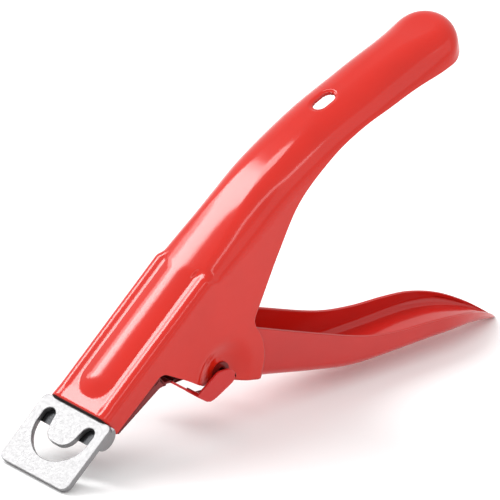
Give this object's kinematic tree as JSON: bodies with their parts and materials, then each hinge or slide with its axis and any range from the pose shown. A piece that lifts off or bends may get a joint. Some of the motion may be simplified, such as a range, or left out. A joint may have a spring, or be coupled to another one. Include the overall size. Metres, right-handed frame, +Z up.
{
  "type": "false nail tip cutter",
  "caption": "Hand-squeezed cutter for false nail tips: pressed body with fixed handle, sprung lever that slides a flat blade under a plate with a crescent slot.",
  "frame": {"origin": "middle of the bounding box in X and Y, on the surface the tool stands on", "axes": "tool stands on the front edge of its head plate and the tip of its lever: +X from head to lever tip, -Y out of the near side wall, +Z up"},
  "size_m": [0.1328, 0.02, 0.0757],
  "materials": {
    "body_paint": "gloss red paint over pressed steel",
    "lever_paint": "gloss red paint over pressed steel",
    "guard_paint": "gloss red paint",
    "plate_steel": "fine satin, bright nickel plate",
    "rail_steel": "plain",
    "rivet_steel": "plain, peened",
    "blade_steel": "ground",
    "carrier_steel": "dull",
    "pin_steel": "polished",
    "tube_paint": "dark red paint on rolled rims",
    "sleeve_steel": "dull",
    "spring_steel": "bright wire"
  },
  "bodies": {
    "frame": {"body_shell": "body_paint", "under_guard": "guard_paint", "head_plate": "plate_steel", "guide_rail_near": "rail_steel", "guide_rail_far": "rail_steel", "blade_guide": "rail_steel", "head_rivets": "rivet_steel", "pivot_tube": "tube_paint", "spring_sleeve": "sleeve_steel", "return_spring": "spring_steel"},
    "lever": {"squeeze_lever": "lever_paint"},
    "blade_set": {"blade": "blade_steel", "blade_carrier": "carrier_steel", "blade_rivets": "rivet_steel", "drive_pin": "pin_steel"}
  },
  "joints": [
    {"name": "lever_hinge", "type": "hinge", "parent": "frame", "child": "lever", "pos_m": [-0.02105, 0, 0.01454], "axis": [0, -1, 0], "range_deg": [0, 24], "stiffness_Nm_per_rad": 0.25, "springref_deg": -8.59, "deforming": ["return_spring"]},
    {"name": "blade_slide", "type": "slide", "parent": "frame", "child": "blade_set", "axis": [-0.7381, 0, -0.6747], "range_m": [0, 0.0074]}
  ],
  "couplings": [
    {"joint": "blade_slide", "follows": "lever_hinge", "m_per_rad": 0.017151}
  ]
}
